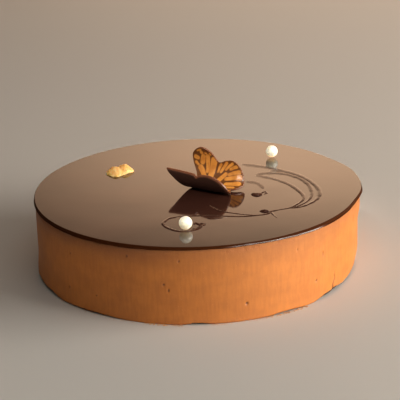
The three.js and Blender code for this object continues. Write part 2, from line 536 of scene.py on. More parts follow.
@dataclass(frozen=True)
class GlazeFinish:
    """Dark mirror glaze, wet gloss over chocolate with faint smears; its dull rim is a painted dark
    reflection.
    """

    colour: Colour = (0.030, 0.0105, 0.0070)
    thin: Colour = (0.050, 0.018, 0.011)
    # The rim's colour, used as metal, is a painted dark reflection in place of the mirrored floor.
    rim: Colour = (0.060, 0.0170, 0.0050)
    coat: float = 0.2

    def material(self) -> bpy.types.Material:
        """Gloss changing a little in slow clouds, and a painted dark reflection, rough metallic brown,
        where 'dull'.
        """
        shader = Shader("mirror_glaze")
        dull = shader.painted("dull")
        clouds = shader.noise(38.0, detail=2.0)
        speck = shader.noise(0.8, detail=1.0).step(0.74, 0.8)
        pool = shader.mix(clouds.step(0.35, 0.75), self.colour, self.thin)
        return shader.finish(
            # Painted reflection: where 'dull' the rim is rough metallic dark brown, so it looks dark
            # instead of mirroring the floor.
            Base_Color=shader.mix(dull, pool, self.rim),
            Roughness=0.045 + clouds * 0.04 + speck * 0.2 + dull * 0.8,
            Metallic=dull,
            Coat_Weight=(1.0 - dull) * self.coat,
            Coat_Roughness=0.04,
            Normal=shader.bump(clouds + speck * 0.05, 0.06),
        )


@dataclass(frozen=True)
class PipingFinish:
    """Thin chocolate, piped onto the wet glaze in soft ridges that melt into it at their edges."""

    colour: Colour = (0.040, 0.0150, 0.0085)
    edge: Colour = (0.030, 0.0105, 0.0070)
    worn: Colour = (0.080, 0.032, 0.018)
    edge_coat: float = 0.33

    def material(self) -> bpy.types.Material:
        """Satin chocolate where painted 'cover', and the glaze's wet gloss at its soft edges."""
        shader = Shader("piped_chocolate")
        cover = shader.painted("cover")
        blots = shader.noise(2.5, detail=3.0)
        middle = shader.mix(blots.step(0.4, 0.7), self.colour, self.worn)
        return shader.finish(
            Base_Color=shader.mix(cover, self.edge, middle),
            Roughness=0.06 + cover * (0.12 + blots * 0.16),
            Specular_IOR_Level=0.25,
            Coat_Weight=(1.0 - cover) * self.edge_coat,
            Coat_Roughness=0.04,
            Normal=shader.bump(blots, 0.05),
        )


@dataclass(frozen=True)
class PearlFinish:
    """Sugar pearl with a soft ivory lustre, a painted glow and painted shade underneath."""

    colour: Colour = (0.985, 0.910, 0.730)
    shade: Colour = (0.960, 0.850, 0.640)
    # Painted shade: a darker, warmer ivory on the pearl's underside.
    underside: Colour = (0.900, 0.660, 0.360)
    glow: Colour = (0.200, 0.164, 0.104)
    bounce: Colour = (0.960, 0.620, 0.340)

    def material(self) -> bpy.types.Material:
        """Ivory with sugar grains, a painted glow, and warmer painted shade and glow from the glaze where
        'under'.
        """
        shader = Shader("sugar_pearl")
        grain = shader.noise(0.7, detail=2.0)
        clouds = shader.noise(3.5, detail=1.0).step(0.35, 0.75)
        under = shader.painted("under")
        ivory = shader.mix(clouds * 0.5 + grain.step(0.6, 0.75) * 0.3, self.colour, self.shade)
        return shader.finish(
            # Painted shade: the underside, painted 'under', is a darker, warmer ivory.
            Base_Color=shader.mix(under, ivory, self.underside),
            Roughness=0.3 + grain * 0.15,
            Subsurface_Weight=1.0,
            Subsurface_Radius=(1.0, 0.95, 0.85),
            Subsurface_Scale=7.0 * MM,
            # Painted light: the pearls glow a little all over, and more where 'under' stands for light
            # thrown up by the glaze.
            Emission_Color=shader.mix(under, self.glow, self.bounce),
            Emission_Strength=1.25,
            Coat_Weight=0.35,
            Coat_Roughness=0.2,
            Normal=shader.bump(grain, 0.03),
        )


@dataclass(frozen=True)
class WingFinish:
    """Dark chocolate wing, light cells printed on its upper side, and a lighter cut rim that is partly
    painted highlight.
    """

    chocolate: Colour = (0.045, 0.0180, 0.0115)
    vein: Colour = (0.130, 0.0440, 0.0100)
    orange: Colour = (0.640, 0.2650, 0.0480)
    deep_orange: Colour = (0.480, 0.1750, 0.0260)
    # Cut chocolate edge, lighter partly as a painted highlight of light caught along it.
    cut: Colour = (0.170, 0.0560, 0.0240)

    def material(self) -> bpy.types.Material:
        """Cells by the painted 'cell' on the side painted 'upper', and the rim painted 'rim'."""
        shader = Shader("chocolate_wing")
        cell = shader.painted("cell")
        upper = shader.painted("upper")
        clouds = shader.noise(5.0, detail=3.0)
        fine = shader.noise(0.9, detail=3.0)
        cells = shader.mix(clouds.step(0.3, 0.6), self.deep_orange, self.orange)
        printed = shader.mix(cell, self.vein, cells)
        sides = shader.mix(upper, self.chocolate, printed)
        return shader.finish(
            # The rim's lighter colour is partly a painted highlight of light caught along the cut edge.
            Base_Color=shader.mix(shader.painted("rim"), sides, self.cut),
            Roughness=0.26 + fine * 0.16,
            Normal=shader.bump(fine + cell * upper * 0.6, 0.07),
        )


@dataclass(frozen=True)
class GoldFinish:
    """Beaten gold leaf, crumpled, whose thin lobes let some light through."""

    bright: Colour = (0.970, 0.500, 0.170)
    deep: Colour = (0.960, 0.490, 0.160)

    def material(self) -> bpy.types.Material:
        """Gold with fine creases that change its colour and roughness."""
        shader = Shader("gold_leaf")
        crease = shader.noise(2.2, detail=4.0)
        return shader.finish(
            Base_Color=shader.mix(crease.step(0.35, 0.65), self.deep, self.bright),
            Metallic=0.15,
            Roughness=0.45 + crease * 0.2,
            Subsurface_Weight=0.7,
            Subsurface_Radius=(1.0, 0.75, 0.45),
            Subsurface_Scale=5.0 * MM,
            Normal=shader.bump(crease, 0.15),
        )


@dataclass(frozen=True)
class FloorFinish:
    """Plain pale floor."""

    colour: Colour = (0.580, 0.560, 0.530)

    def material(self) -> bpy.types.Material:
        """One matt colour."""
        return Shader("pale_floor").finish(Base_Color=self.colour, Roughness=0.7)


# ------------------------------------------------------------------ the cake


@dataclass(frozen=True)
class FootGap:
    """Where the mousse stops short of the ground.

    Attributes:
        middle: azimuth of its middle.
        half_width: degrees from its middle to its ends.
        ease: degrees over which it grows from each end.
        height: how high it is where it is full.
    """

    middle: float
    half_width: float
    ease: float
    height: float

    def rise(self, azimuth: Array) -> Array:
        """Height of the gap: a smooth rise over the easing from each of its ends."""
        away = np.abs(turn_between(azimuth, self.middle))
        return self.height * smooth_step(self.half_width - away, 0.0, self.ease)


@dataclass(frozen=True)
class Swelling:
    """A stretch of the side that stands out, or in if negative, fading over its half width.

    Attributes:
        middle: azimuth of its middle.
        half_width: degrees from its middle to where it has faded out.
        none: height where it has faded out.
        full: height where it is full, above or below that.
        amount: how far it stands out there.
    """

    middle: float
    half_width: float
    none: float
    full: float
    amount: float


SWELLINGS = (
    Swelling(4, 26, 28, 38, 1.35),
    Swelling(5, 52, 12, -2, -2.0),
    Swelling(-168, 50, 16, 1, 0.9),
)


def swollen(azimuth: Array, height: Array | float) -> Array:
    """How far the side stands out: each swelling fades smoothly round the cake and in height."""
    return sum(
        s.amount * lobe(azimuth, s.middle, s.half_width) * smooth_step(height, s.none, s.full)
        for s in SWELLINGS
    )


@dataclass(frozen=True)
class Pit:
    """A burst air bubble in the side, by azimuth and height, with its radius and stretch upwards."""

    azimuth: float
    height: float
    radius: float = 0.8
    stretch: float = 1.0


@dataclass
class BaseBiscuit:
    """The dark biscuit under the mousse, seen only through the gaps at its foot."""

    node: str = "base_biscuit"
    columns: int = 720
    edge_rows: int = 15
    flat_radii: tuple[float, ...] = (2.0, 50.0, 85.0, 93.0)
    roughness: float = 0.22
    rounding: float = 0.5
    finish: BiscuitFinish = BiscuitFinish()

    def build(self) -> None:
        """A turned disc whose edge is crumbled.

        The edge is a half ellipse of the disc's thickness, and its radius is cut back by bumps
        of about a millimetre.
        """
        low, high = node_box(self.node)
        radius, thickness = high[0], high[2] - low[2]
        azimuth = round_turn(self.columns)
        lift = np.radians(np.linspace(-90.0, 90.0, self.edge_rows))[:, None]
        height = thickness / 2 * (1.0 + np.sin(lift))
        bumps = Grain(11, self.columns // 2).round_cake(azimuth, height, 0.9)
        edge = radius - self.rounding * (1.0 - np.cos(lift)) - self.roughness * (1.0 + bumps)
        edge = edge + swollen(azimuth, height)
        flat = np.array(self.flat_radii)[:, None] + 0.0 * azimuth
        rows = np.vstack([flat, edge, flat[::-1]])
        heights = np.vstack([0.0 * flat, height + 0.0 * azimuth, thickness + 0.0 * flat])
        skin = Skin()
        skin.add_closed(turned(azimuth, rows, heights))
        dress(skin.piece("chocolate_biscuit"), self.finish.material(), Slot.BISCUIT, self.node)


@dataclass
class MousseBody:
    """The tall disc of mousse: smooth where its ring held it, broken at the foot and under the glaze.

    Attributes:
        skirt: thickness of the wall that hangs down round the biscuit.
        inset: how far the side lies inside the CAD node's radius, before its relief.
        core_radii: where the rows under and over the body stand, apart from its edges.
        waves: size of the side's slow relief, with streaks, lumps and chips for the finer ones.
        worn: how far the crumbly bands lie back.
        top_band: height of the crumbly band under the glaze.
        foot_band: height of the one at the foot, which is as crumbly as foot_crumb says.
        soak: share of painted shade darkening the side under the glaze, fading over its depth.
        shaded_soak: painted shade added at the shaded side, which fades over the shaded depth.
    """

    node: str = "mousse_body"
    columns: int = 1200
    side_rows: int = 62
    skirt: float = 1.2
    edge_ease: float = 0.35
    inset: float = 0.15
    overlap: float = 1.5
    biscuit_clearance: float = 0.3
    core_radii: tuple[float, float] = (3.0, 60.0)
    waves: float = 0.14
    streaks: float = 0.012
    lumps: float = 0.13
    chips: float = 0.16
    worn: float = 0.08
    top_band: float = 5.0
    foot_band: float = 3.5
    foot_crumb: float = 0.8
    foot_unevenness: float = 0.22
    foot_raggedness: float = 0.16
    skirt_crumb: float = 0.6
    # Painted shade at half strength on the skirt and the underside of the mousse.
    skirt_hollow: float = 0.5
    # Painted shade: the side is darker towards the glaze, and more on its shaded side.
    soak: float = 0.3
    soak_depth: float = 16.0
    shaded_soak: float = 0.6
    shaded_side: float = -152.0
    shaded_half_width: float = 75.0
    shaded_depth: float = 10.0
    gaps: tuple[FootGap, ...] = (
        FootGap(-158, 16, 12, 2.3), FootGap(-131, 19, 17, 0.9), FootGap(-91, 6, 6, 1.1),
        FootGap(-60, 9, 9, 1.0), FootGap(-37, 12, 9, 2.3), FootGap(-20, 20, 14, 1.5),
        FootGap(38, 15, 15, 0.9), FootGap(96, 12, 12, 1.2), FootGap(151, 18, 18, 0.8),
    )
    pits: tuple[Pit, ...] = (
        Pit(-113.9, 40.1), Pit(-96.4, 39.2, 0.7), Pit(-101.7, 24.4), Pit(-100.1, 21.1, 0.7, 1.6),
        Pit(-74.6, 10.8, 1.0), Pit(-138.2, 33.1, 0.6), Pit(-139.8, 11.3, 0.8, 1.5),
        Pit(-126.7, 11.6, 0.7), Pit(-43.5, 28.4, 0.55, 3.6), Pit(-47.0, 13.5),
        Pit(-55.5, 37.1, 0.6), Pit(-20.4, 36.9, 0.5, 6.0), Pit(12.0, 22.0, 0.7),
        Pit(57.0, 31.0, 0.9), Pit(83.0, 14.0, 0.7), Pit(121.0, 27.0, 0.8, 1.6),
        Pit(165.0, 17.0, 0.7),
    )
    crack_foot: tuple[float, float] = (-37.7, 1.0)
    crack_top: tuple[float, float] = (-36.2, 15.0)
    crack_width: float = 0.9
    crack_depth: float = 1.1
    crack_wander: float = 0.25
    finish: MousseFinish = MousseFinish()

    def foot(self, azimuth: Array) -> Array:
        """Height of the lower edge: the highest of the gaps, ragged where there is one.

        Args:
            azimuth: azimuths round the foot.

        Returns:
            The heights, in the shape of the azimuths.
        """
        rise = np.max([gap.rise(azimuth) for gap in self.gaps], axis=0)
        ragged = self.foot_raggedness * Grain(21, 420).round_cake(azimuth, 0.0)
        uneven = self.foot_unevenness * Grain(22, 110).round_cake(azimuth, 0.0)
        return np.maximum(rise * (1.0 + uneven) + ragged * smooth_step(rise, 0.0, 0.5), 0.0)

    def hollows(self, azimuth: Array, height: Array, radius: float) -> Array:
        """How deep the surface lies in a pit or the crack, from 0 to 1.

        A pit is a bowl whose depth falls smoothly from its middle to its rim. The crack is a
        groove about a slanting line, which narrows towards its top.

        Args:
            azimuth: azimuths of the side's grid.
            height: heights of the side's grid.
            radius: radius of the side.

        Returns:
            The depth as a share, in the shape of the grid.
        """
        arc = math.radians(1.0) * radius
        deepest = np.zeros_like(height)
        for pit in self.pits:
            across = turn_between(azimuth, pit.azimuth) * arc
            up = (height - pit.height) / pit.stretch
            deepest = np.maximum(deepest, smooth_step(np.hypot(across, up), pit.radius, 0.15 * pit.radius))
        (foot_azimuth, foot_height), (top_azimuth, top_height) = self.crack_foot, self.crack_top
        share = (height - foot_height) / (top_height - foot_height)
        middle = foot_azimuth + (top_azimuth - foot_azimuth) * share
        middle = middle + self.crack_wander * np.sin(0.9 * height)
        away = np.abs(turn_between(azimuth, 0.0) - middle) * arc
        width = self.crack_width * np.clip(1.15 - share, 0.2, 1.0)
        groove = smooth_step(away, width, 0.2 * width) * smooth_step(share, 1.05, 0.75)
        return np.maximum(deepest, groove)

    def relief(self, azimuth: Array, height: Array, crumb: Array) -> Array:
        """How far the side stands out, in millimetres, before its hollows.

        It is a sum of slow waves, faint upright streaks and, in the crumbly bands, small lumps.

        Args:
            azimuth: azimuths of the side's grid.
            height: heights of the side's grid.
            crumb: share of crumbliness over the grid.

        Returns:
            The relief, in the shape of the grid.
        """
        waves = self.waves * Grain(31, 20).round_cake(azimuth, height, 24.0)
        streaks = self.streaks * Grain(32, 300).round_cake(azimuth, height, 16.0)
        lumps = self.lumps * Grain(33, 560).round_cake(azimuth, height, 1.1)
        chips = self.chips * Grain(34, 230).round_cake(azimuth, height, 2.6)
        return waves + streaks + crumb * (lumps + np.minimum(chips, 0.0) - self.worn)

    def build(self) -> None:
        """A hollow-footed disc whose profile is carried round Z, with relief on its side.

        The rows run under the ceiling over the biscuit, down inside the skirt, round its lower
        edge, up the side and in over the top, which reaches a little into the glaze. Painted shade
        darkens the side down from the glaze by a smooth fall, and more on one side by an exponential one.
        """
        high = node_box(self.node)[1]
        radius, top = high[0], high[2] + self.overlap
        ceiling = node_box("base_biscuit")[1][2] + self.biscuit_clearance
        azimuth = round_turn(self.columns)
        foot = self.foot(azimuth)
        inside = radius - self.skirt + swollen(azimuth, foot)

        share = np.linspace(0.0, 1.0, self.side_rows)[:, None]
        start = foot + self.edge_ease
        height = start + (top - self.edge_ease - start) * share
        crumb = np.maximum(
            smooth_step(height, high[2] - self.top_band, high[2] - 0.5),
            self.foot_crumb * smooth_step(height, foot + self.foot_band, foot + 0.6),
        )
        patch = 0.5 + 0.5 * Grain(35, 60).round_cake(azimuth, height, 5.0)
        crumb = crumb * smooth_step(patch, 0.15, 0.6)
        # Painted shade, strongest high on the shaded side and fading downwards, plus a fall from the
        # glaze.
        shaded = lobe(azimuth, self.shaded_side, self.shaded_half_width)
        shaded = shaded * np.exp((height - high[2]) / self.shaded_depth)
        soak = self.soak * smooth_step(height, high[2] - self.soak_depth, high[2])
        soak = soak + self.shaded_soak * shaded
        # The depth of the pits and the crack also paints nearly black shade in them.
        hollow = self.hollows(azimuth, height, radius)
        relief = self.relief(azimuth, height, crumb) - self.crack_depth * hollow
        side = radius - self.inset + swollen(azimuth, height) + relief

        core, middle = self.core_radii
        under = [(core, ceiling), (middle, ceiling), (inside - 0.8, ceiling)]
        flat = np.ones_like(azimuth)
        skirt = [(inside, ceiling - 0.3), (inside, 0.5 * (ceiling + foot)), (inside, foot + 0.2)]
        edge = [(inside + 0.25, foot), (side[0] - self.edge_ease, foot)]
        over = [(side[-1] - self.edge_ease, top), (middle, top), (core, top)]
        profile = [(r * flat, z * flat) for r, z in under + skirt + edge]
        lid = [(r * flat, z * flat) for r, z in over]
        radii = np.vstack([r for r, _ in profile] + [side] + [r for r, _ in lid])
        heights = np.vstack([z for _, z in profile] + [height] + [z for _, z in lid])
        before, after = np.zeros((len(profile), self.columns)), np.zeros((len(lid), self.columns))
        skin = Skin()
        skin.add_closed(
            turned(azimuth, radii, heights),
            crumb=np.vstack([before + self.skirt_crumb, crumb, after]),
            hollow=np.vstack([before + self.skirt_hollow, hollow, after]),
            soak=np.vstack([before, soak, after]),
        )
        dress(skin.piece("mousse_body_side"), self.finish.material(), Slot.MOUSSE, self.node)


@dataclass
class MirrorGlaze:
    """The poured glaze: a flat pool, a crisp rim with painted dark reflection round the front, a bead
    along its lip.

    Attributes:
        brink: how far inside the rounded edge the pool's gloss begins.
        hang_shares: shares of the hang that are even, in quick drips and in slow waves.
        low_lips: azimuth, half width and depth of the stretches where the lip sags.
        high_lip: azimuth, half width and height of the stretch where it is raised.
        glossy_ends: degrees from the glossy side where the bead's gloss has faded and is full.
        dull_ends: degrees from its side where the rim's painted dark reflection has faded and is full.
    """

    node: str = "mirror_glaze"
    columns: int = 720
    inset: float = 0.1
    overhang: float = 0.15
    heavy_overhang: float = 0.9
    heavy_side: float = 6.0
    heavy_half_width: float = 26.0
    rounding: float = 0.4
    brink: float = 0.12
    middle_radius: float = 3.0
    pool_radius: float = 98.5
    under_radii: Triple = (3.0, 60.0, 97.0)
    rim_rows: int = 22
    pool_rows: int = 36
    ripple: float = 0.012
    bead: float = 0.3
    bead_height: float = 0.32
    hang: float = 0.3
    hang_shares: Triple = (0.2, 0.35, 0.3)
    low_lips: tuple[Triple, ...] = ((-34.0, 26.0, 0.5), (-150.0, 50.0, 0.4))
    high_lip: Triple = (-82.0, 30.0, 0.35)
    glossy_side: float = -62.0
    glossy_ends: tuple[float, float] = (21.0, 14.0)
    # Where the rim is dull metal, as a painted dark reflection, and where that fades.
    dull_side: float = -90.0
    dull_ends: tuple[float, float] = (94.0, 82.0)
    finish: GlazeFinish = GlazeFinish()

    def lip(self, azimuth: Array, bottom: float) -> Array:
        """Height of the lower edge: the glaze's bottom, with drips and slow rises and falls.

        Args:
            azimuth: azimuths round the rim.
            bottom: height of the bottom of the glaze.

        Returns:
            The heights, in the shape of the azimuths.
        """
        drips = Grain(41, 96).round_cake(azimuth, 0.0)
        slow = Grain(42, 26).round_cake(azimuth, 0.0)
        sagging = sum(depth * lobe(azimuth, middle, width) for middle, width, depth in self.low_lips)
        middle, width, rise = self.high_lip
        raised = rise * lobe(azimuth, middle, width)
        even, quick, gentle = self.hang_shares
        return bottom + raised - sagging - self.hang * (even + quick * drips + gentle * slow)

    def build(self) -> None:
        """A disc turned round Z.

        Its rim climbs from the lip, where it stands out in a bead by a bell curve of the height,
        and a quarter circle rounds its upper edge.
        """
        low, high = node_box(self.node)
        bottom, top = low[2], high[2]
        azimuth = round_turn(self.columns)
        flat = np.ones_like(azimuth)
        lip = self.lip(azimuth, bottom)
        heavy = self.heavy_overhang * lobe(azimuth, self.heavy_side, self.heavy_half_width)
        radius = high[0] - self.inset + self.overhang + heavy + swollen(azimuth, bottom)

        climb = np.linspace(0.0, 1.0, self.rim_rows)[:, None]
        rim_height = lip + (top - lip) * (1.0 - (1.0 - climb) ** 1.5)
        into_edge = np.clip(1.0 - (top - rim_height) / self.rounding, 0.0, 1.0)
        above_lip = rim_height - lip - self.bead_height
        bell = np.exp(-((above_lip / (0.8 * self.bead_height)) ** 2))
        rim_radius = radius - self.rounding * (1.0 - np.sqrt(1.0 - into_edge**2)) + self.bead * bell

        brink = radius - self.rounding - self.brink
        pool = np.linspace(self.pool_radius, self.middle_radius, self.pool_rows)[:, None]
        calm = smooth_step(pool, 5.0, 40.0) * smooth_step(pool, 98.0, 80.0)
        pool_height = top + self.ripple * Grain(43, 12).round_cake(azimuth, pool, 24.0) * calm

        inner = np.array(self.under_radii)[:, None] * flat
        under = np.vstack([inner, radius - 0.6, radius - 0.1])
        under_height = np.vstack([bottom + 0.0 * inner, lip - 0.05, lip - 0.1])
        radii = np.vstack([under, rim_radius, brink, pool * flat])
        heights = np.vstack([under_height, rim_height, top * flat, pool_height])
        glossy = smooth_step(np.abs(turn_between(azimuth, self.glossy_side)), *self.glossy_ends)
        on_bead = smooth_step(np.abs(above_lip), 2.2 * self.bead_height, self.bead_height)
        # Painted dark reflection: the rim is dull round the front, except on the glossy stretch of bead.
        rim_dull = smooth_step(np.abs(turn_between(azimuth, self.dull_side)), *self.dull_ends)
        rim_dull = rim_dull * (1.0 - glossy * on_bead)
        skin = Skin()
        skin.add_closed(
            turned(azimuth, radii, heights),
            dull=np.vstack([np.ones_like(under), rim_dull, 0.0 * brink, 0.0 * pool * flat]),
        )
        dress(skin.piece("mirror_glaze_pool"), self.finish.material(), Slot.GLAZE, self.node)


# ------------------------------------------------------------------ decorations


@dataclass
class SugarPearls:
    """Two sugar pearls, each a little out of round.

    Attributes:
        bounces: how much light the glaze throws up under each pearl, from 0 to 1, as painted glow and
            shade.
        underside: the lifts in degrees between which that painted glow and shade grow from none to full.
    """

    nodes: tuple[str, ...] = ("pearl_front", "pearl_back")
    bounces: tuple[float, ...] = (0.35, 1.0)
    underside: tuple[float, float] = (-15.0, -65.0)
    unevenness: float = 0.035
    rows: int = 47
    columns: int = 96
    finish: PearlFinish = PearlFinish()

    def build(self) -> None:
        """A ball in each node's box, whose radius swells and sinks in slow bumps."""
        material = self.finish.material()
        lift = np.linspace(-86.0, 86.0, self.rows)[:, None]
        azimuth = round_turn(self.columns)
        for seed, (node, bounce) in enumerate(zip(self.nodes, self.bounces), start=51):
            low, high = node_box(node)
            centre, radius = (low + high) / 2, (high[2] - low[2]) / 2
            bumps = self.unevenness * Grain(seed, 9).round_cake(azimuth, lift, 40.0)
            reach = radius + bumps * np.cos(np.radians(lift)) - self.unevenness
            ball = turned(azimuth, reach * np.cos(np.radians(lift)), reach * np.sin(np.radians(lift)))
            skin = Skin()
            # Painted glow and shade grow towards the bottom of each pearl.
            skin.add_closed(ball + centre, under=bounce * smooth_step(lift, *self.underside))
            dress(skin.piece(f"sugar_{node}"), material, Slot.PEARL, node)


@dataclass(frozen=True)
class WingCell:
    """One light cell of a wing: a stroke in wing coordinates that widens or narrows along it.

    Attributes:
        path: places along the stroke, each as (along the fold, across it).
        half_widths: half the stroke's width at its first and last place.
    """

    path: Outline
    half_widths: tuple[float, float]

    def inside(self, along: Array, across: Array, softness: float) -> Array:
        """Share of the cell's colour at places on the wing.

        It rises smoothly over the edge of the stroke, whose distance is the least of the
        distances to its places less the half width there.

        Args:
            along: places along the fold.
            across: places across it.
            softness: half the width of the soft edge.

        Returns:
            The share, from 0 to 1, in the shape of the places.
        """
        spine = smooth_path(np.array(self.path, float), 28)
        half = np.linspace(*self.half_widths, len(spine))
        away = np.hypot(along[..., None] - spine[:, 0], across[..., None] - spine[:, 1]) - half
        return smooth_step(away.min(axis=-1), softness, -softness)


@dataclass
class Butterfly:
    """A butterfly of thin chocolate, bent into a gutter, with light cells printed on its upper side.

    Attributes:
        clearance: gap between the glaze and its lowest place.
        fold_start: X and Y where the fold starts at the head.
        heading: azimuth along which the fold runs to the tail.
        root: place on the flat outline from which the spokes to its edge run.
        print_margin: plain border that the cells leave along the edge.
        wave_fade: distance from the fold at which the waves would be gone.
        tail_along: places along the fold between which the tail's curl grows.
    """

    node: str = "butterfly"
    thickness: float = 1.5
    clearance: float = 0.3
    fold_start: tuple[float, float] = (-1.56, 3.2)
    heading: float = -33.0
    roll: float = 5.4
    near_bend_radius: float = 13.1
    far_bend_radius: float = 14.9
    root: tuple[float, float] = (9.0, 0.0)
    rim_rounding: float = 0.15
    bevel_width: float = 1.7
    bevel_depth: float = 1.4
    points_per_wing: int = 300
    rings: int = 60
    rim_rows: int = 13
    print_softness: float = 0.25
    print_margin: float = 0.9
    waviness: float = 0.12
    wave_length: float = 6.0
    wave_fade: float = 60.0
    tail_curl: float = 1.9
    tail_along: tuple[float, float] = (25.0, 32.0)
    tail_across: float = -10.0
    tail_half_width: float = 5.0
    near_wing: Outline = (
        (-0.5, 0), (-1.2, 6), (-2.9, 11.5), (-6.4, 17.7), (-9.8, 22.2), (-5, 22.3), (3.8, 21.9),
        (10.2, 21), (11.5, 19.8), (14, 21), (20.5, 21.6), (26.5, 19.8), (30.6, 15.6), (31.4, 10),
        (29.8, 4.5), (26.7, 0),
    )
    far_wing: Outline = (
        (-0.5, 0), (-0.9, 5), (-2.1, 8.8), (-7.2, 17.3), (-8, 22.4), (-4.8, 26.2), (-0.8, 27.6),
        (4.6, 25.4), (11.4, 19.2), (16.1, 20.8), (21, 21.4), (25.3, 19.1), (29.5, 13.4),
        (31.4, 6.6), (29.8, 2.2), (26.7, 0),
    )
    cells: tuple[WingCell, ...] = (
        WingCell(((6.4, 2.0), (5.4, 4.6), (3.6, 8.3), (1.0, 11.8), (-1.1, 14.1)), (1.16, 1.81)),
        WingCell(((-0.3, 17.8), (-0.35, 19.5), (0.0, 21.6)), (1.81, 1.59)),
        WingCell(((4.6, 12.0), (3.9, 16.5), (3.35, 19.5), (3.2, 21.8)), (1.26, 1.65)),
        WingCell(((8.9, 2.5), (8.1, 8.5), (7.7, 14.0), (7.9, 20.0)), (1.81, 2.31)),
        WingCell(((-1.5, 24.2), (-0.9, 23.8)), (1.16, 1.04)),
        WingCell(((-5.6, 20.5), (-4.0, 20.0)), (1.38, 1.26)),
        WingCell(((-4.4, 25.0), (-1.9, 26.0)), (0.66, 0.77)),
        WingCell(((1.2, 23.9), (2.0, 23.8)), (0.55, 0.66)),
        WingCell(((-5.0, 17.0), (-3.2, 15.7)), (1.04, 0.77)),
        WingCell(((4.6, 24.0), (5.2, 23.4)), (0.61, 0.66)),
        WingCell(((11.9, 13.0), (12.3, 15.4), (13.1, 18.0)), (0.83, 0.99)),
        WingCell(((14.0, 13.2), (15.4, 16.4), (17.0, 19.3)), (0.94, 1.10)),
        WingCell(((17.2, 15.2), (19.0, 17.6), (21.0, 19.4)), (0.83, 1.04)),
        WingCell(((20.4, 15.9), (22.4, 17.2), (24.3, 18.0)), (0.94, 1.16)),
        WingCell(((20.2, 12.3), (23.0, 13.7), (26.6, 14.8)), (1.10, 1.49)),
        WingCell(((19.4, 8.9), (23.0, 10.2), (27.6, 11.6)), (1.38, 1.93)),
        WingCell(((21.0, 4.8), (24.6, 5.6), (28.4, 7.2)), (1.43, 1.76)),
        WingCell(((17.5, 1.8), (22.0, 1.5), (27.0, 2.6)), (1.04, 1.21)),
        WingCell(((13.6, 3.6), (15.2, 8.0), (17.7, 12.0)), (1.98, 1.43)),
    )
    finish: WingFinish = WingFinish()

    def flat_outline(self) -> Array:
        """The flat outline, from the head along the near wing and back along the far one.

        Returns:
            Its places as (along the fold, across it), with the far wing's across negative.
        """
        near = smooth_path(np.array(self.near_wing, float), self.points_per_wing + 1)
        far = smooth_path(np.array(self.far_wing, float), self.points_per_wing + 1)
        return np.vstack([near, far[1:-1][::-1] * (1.0, -1.0)])

    def bent(self, along: Array, across: Array, offset: Array) -> Array:
        """Bends the flat butterfly into its gutter and lays it on the glaze.

        Across the fold, each wing follows a circle of its own radius that starts at the roll
        angle. The offset is measured along the normal of that circle, towards its centre.

        Args:
            along: places along the fold.
            across: places across it, positive on the near wing.
            offset: height above the middle of the thickness.

        Returns:
            The places in the cake's frame, in millimetres.
        """
        radius = np.where(across >= 0.0, self.near_bend_radius, self.far_bend_radius)
        start = -math.radians(self.roll)
        slope = start + across / radius
        sideways = radius * (np.sin(slope) - math.sin(start)) - offset * np.sin(slope)
        up = radius * (math.cos(start) - np.cos(slope)) + offset * np.cos(slope)
        turn = math.radians(self.heading)
        x = self.fold_start[0] + along * math.cos(turn) + sideways * math.sin(turn)
        y = self.fold_start[1] + along * math.sin(turn) - sideways * math.cos(turn)
        lowest = self.far_bend_radius * (1.0 - math.cos(start))
        fold_height = glaze_top() + self.clearance + self.thickness / 2 + lowest
        return np.stack([x, y, fold_height + up], axis=-1)

    def build(self) -> None:
        """Rings of the outline shrunk towards the root, under and over, joined by a cut rim.

        The underside is bevelled: it rises towards the rim by the square of the nearness to it.
        The far wing's tail curls down by a smooth rise along the fold and a bell curve across it,
        and faint waves, weaker away from the fold, keep both sides from being even.
        """
        outline = self.flat_outline()
        spokes = outline - self.root
        length = np.linalg.norm(spokes, axis=1)
        half = self.thickness / 2

        share = np.linspace(0.03, 1.0, self.rings)[:-1, None] + 0.0 * length
        lift = np.radians(np.linspace(-90.0, 90.0, self.rim_rows))[:, None]
        rim = 1.0 - self.rim_rounding * (1.0 - np.cos(lift)) / length
        share = share * (1.0 - self.rim_rounding / length)
        shares = np.vstack([share, rim, share[::-1]])
        from_rim = (1.0 - shares) * length
        nearness = np.clip(1.0 - (1.0 - share) * length / self.bevel_width, 0.0, 1.0)
        under = -1.0 + self.bevel_depth * nearness**2
        low = under[-1]
        cut = (1.0 + low) / 2 + (1.0 - low) / 2 * np.sin(lift)
        sides = np.vstack([under, cut, 0.0 * share + 1.0])

        along = self.root[0] + shares * spokes[:, 0]
        across = self.root[1] + shares * spokes[:, 1]
        cell = np.max([c.inside(along, np.abs(across), self.print_softness) for c in self.cells], axis=0)
        cell = cell * smooth_step(from_rim, 0.5 * self.print_margin, self.print_margin)
        wave = self.waviness * Grain(61, 16, 16).at(along / self.wave_length, across / self.wave_length)
        wave = wave * (1.0 - np.abs(across) / self.wave_fade)
        from_tail = (across - self.tail_across) / self.tail_half_width
        tail = smooth_step(along, *self.tail_along) * np.exp(-(from_tail**2))
        skin = Skin()
        skin.add_closed(
            self.bent(along, across, half * sides + wave - self.tail_curl * tail),
            cell=cell,
            upper=smooth_step(sides, 0.8, 0.98),
            # The rim's painted colour is partly a painted highlight of light caught along the cut edge.
            rim=smooth_step(sides, -0.96, -0.6) * smooth_step(sides, 0.99, 0.9),
        )
        dress(skin.piece("chocolate_butterfly"), self.finish.material(), Slot.BUTTERFLY, self.node)


@dataclass(frozen=True)
class Dome:
    """One lobe of the crumpled flake: its middle, its spread along and across, and its height."""

    at: tuple[float, float]
    spread: tuple[float, float]
    height: float

    def rise(self, x: Array, y: Array) -> Array:
        """Height over the flake: a bell curve of the distance from the middle in spreads."""
        away = ((x - self.at[0]) / self.spread[0]) ** 2 + ((y - self.at[1]) / self.spread[1]) ** 2
        return self.height * np.exp(-away)


